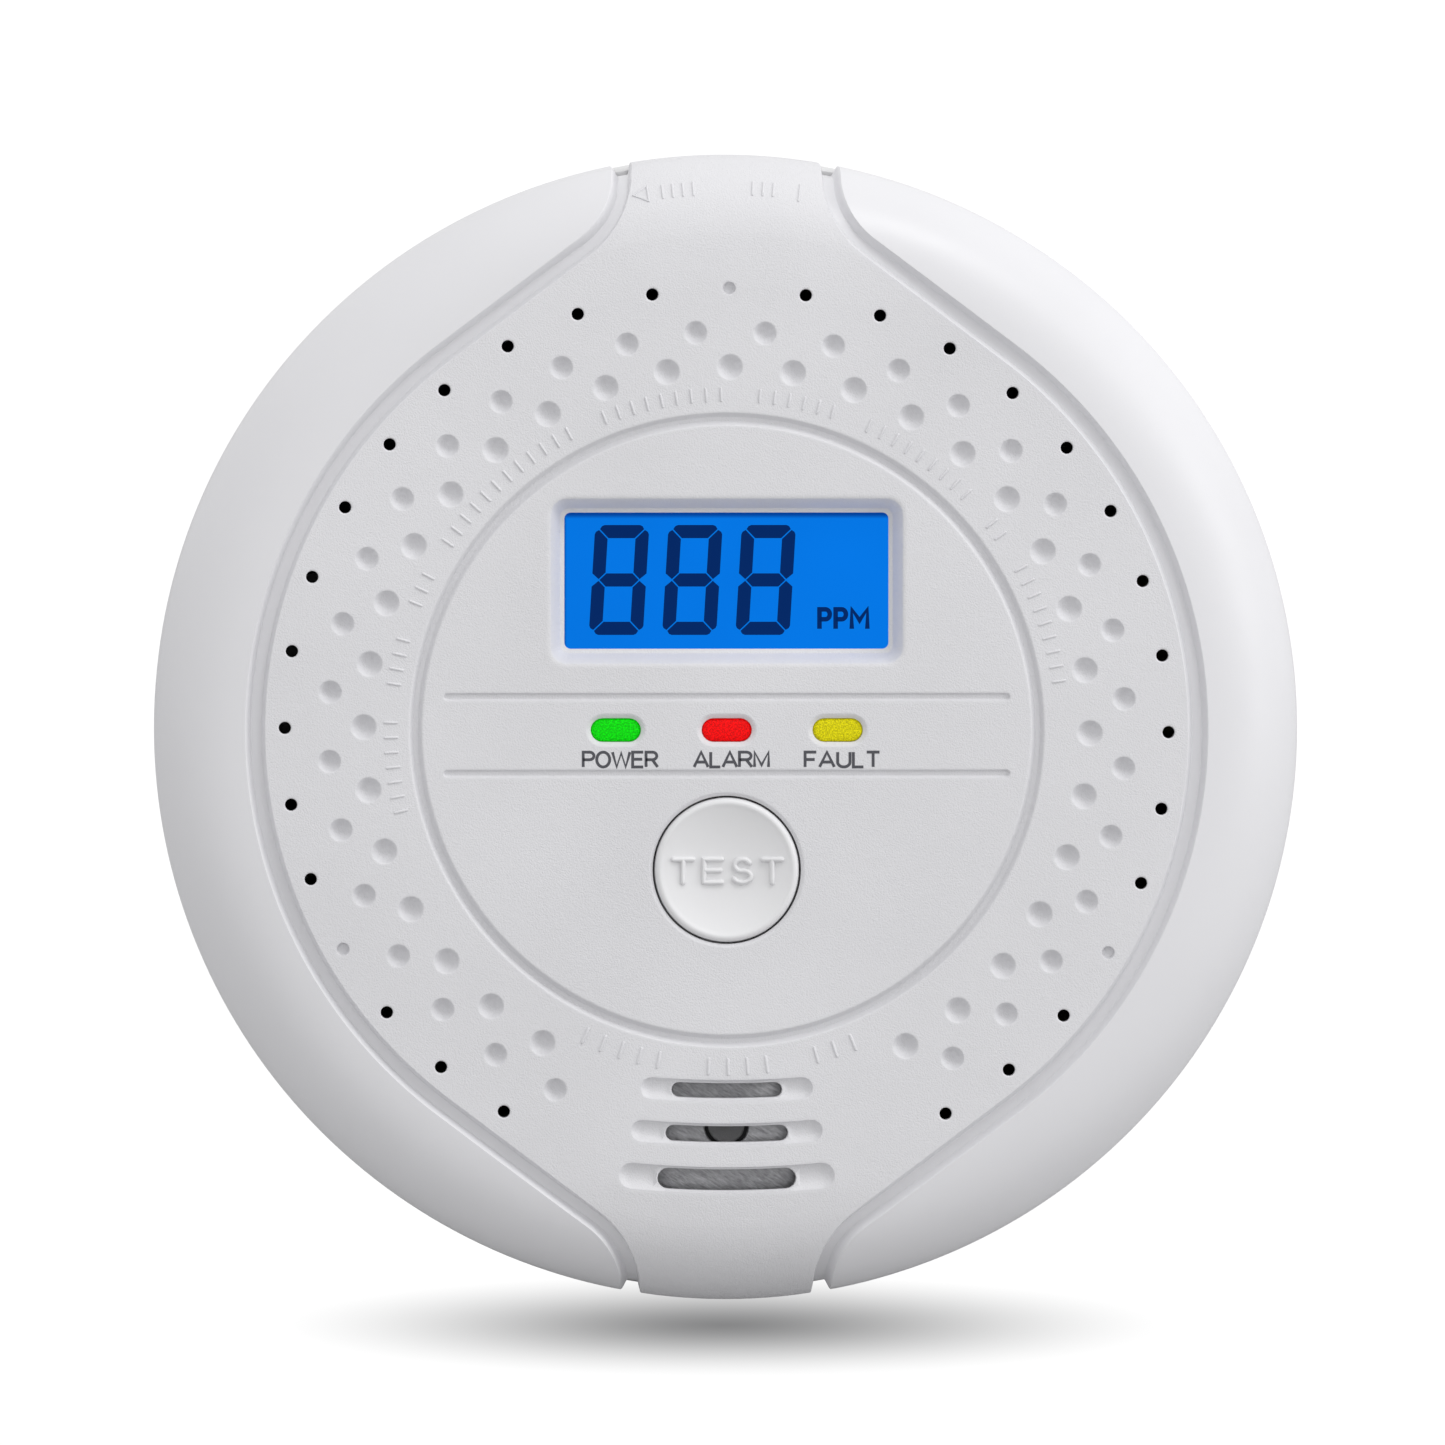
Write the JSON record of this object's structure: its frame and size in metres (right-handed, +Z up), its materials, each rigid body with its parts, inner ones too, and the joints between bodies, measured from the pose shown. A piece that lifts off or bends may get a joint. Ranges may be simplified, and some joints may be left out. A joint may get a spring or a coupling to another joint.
{
  "type": "carbon monoxide detector",
  "caption": "Round white battery carbon monoxide alarm with a blue LCD, status lamps, a test button, a vented face and a twist-on wall plate.",
  "frame": {"origin": "centre of the wall plate's flat back face, on the turning axis", "axes": "+Y into the wall, so the front faces -Y; +Z up; +X to the right seen from the front"},
  "size_m": [0.1, 0.037, 0.1],
  "materials": {
    "cover_white": "fine spark-eroded grain on the panel, satin wings",
    "housing_white": "satin moulded",
    "plate_white": "satin moulded",
    "button_white": "satin moulded",
    "lens_green": "clear tinted",
    "lens_red": "clear tinted",
    "lens_yellow": "clear tinted",
    "led_green": "diffused resin",
    "led_red": "diffused resin",
    "led_yellow": "diffused resin",
    "display_glass": "polished, lit blue",
    "diffuser": "frosted",
    "frame_white": "satin moulded",
    "strip_rubber": "matte",
    "board_green": "solder mask",
    "chip_black": "matte",
    "coil_ferrite": "matte",
    "capacitor_sleeve": "shrink sleeve",
    "socket_nylon": "natural nylon",
    "switch_black": "matte",
    "switch_steel": "brushed",
    "sensor_black": "matte",
    "sensor_steel": "scratched",
    "membrane_grey": "porous",
    "sounder_black": "matte",
    "sounder_brass": "rolled",
    "contact_nickel": "nickel plated",
    "cell_jacket": "printed film on a steel can",
    "screw_steel": "zinc plated",
    "lead_red": "PVC insulation",
    "lead_black": "PVC insulation"
  },
  "bodies": {
    "wall_plate": {"mounting_plate": "plate_white"},
    "detector": {"rear_housing": "housing_white", "front_cover": "cover_white", "switch_body": "switch_black", "switch_cover": "switch_steel", "power_lens": "lens_green", "power_led": "led_green", "alarm_lens": "lens_red", "alarm_led": "led_red", "fault_lens": "lens_yellow", "fault_led": "led_yellow", "lcd_glass": "display_glass", "lcd_backlight": "diffuser", "lcd_frame": "frame_white", "lcd_connector_strip": "strip_rubber", "main_board": "board_green", "control_chip": "chip_black", "sounder_coil": "coil_ferrite", "capacitor_1": "capacitor_sleeve", "capacitor_2": "capacitor_sleeve", "battery_socket": "socket_nylon", "sounder_socket": "socket_nylon", "co_sensor_body": "sensor_black", "co_sensor_cap": "sensor_steel", "co_sensor_membrane": "membrane_grey", "sounder_case": "sounder_black", "sounder_disc": "sounder_brass", "contact_positive": "contact_nickel", "contact_negative": "contact_nickel", "contact_bridge_upper": "contact_nickel", "contact_bridge_lower": "contact_nickel", "aa_cell_1": "cell_jacket", "aa_cell_2": "cell_jacket", "aa_cell_3": "cell_jacket", "housing_screw_1": "screw_steel", "housing_screw_2": "screw_steel", "housing_screw_3": "screw_steel", "board_screw_1": "screw_steel", "board_screw_2": "screw_steel", "board_screw_3": "screw_steel", "board_screw_4": "screw_steel", "battery_lead_red": "lead_red", "battery_lead_black": "lead_black", "sounder_lead_red": "lead_red", "sounder_lead_black": "lead_black"},
    "button": {"test_button": "button_white", "switch_plunger": "switch_black"}
  },
  "joints": [
    {"name": "bayonet_twist", "type": "hinge", "parent": "wall_plate", "child": "detector", "pos_m": [0, 0, 0], "axis": [0, -1, 0], "range_deg": [0, 25]},
    {"name": "button_press", "type": "slide", "parent": "detector", "child": "button", "axis": [0, 1, 0], "range_m": [0, 0.0006], "stiffness_N_per_m": 1500, "springref_m": -0.001}
  ]
}
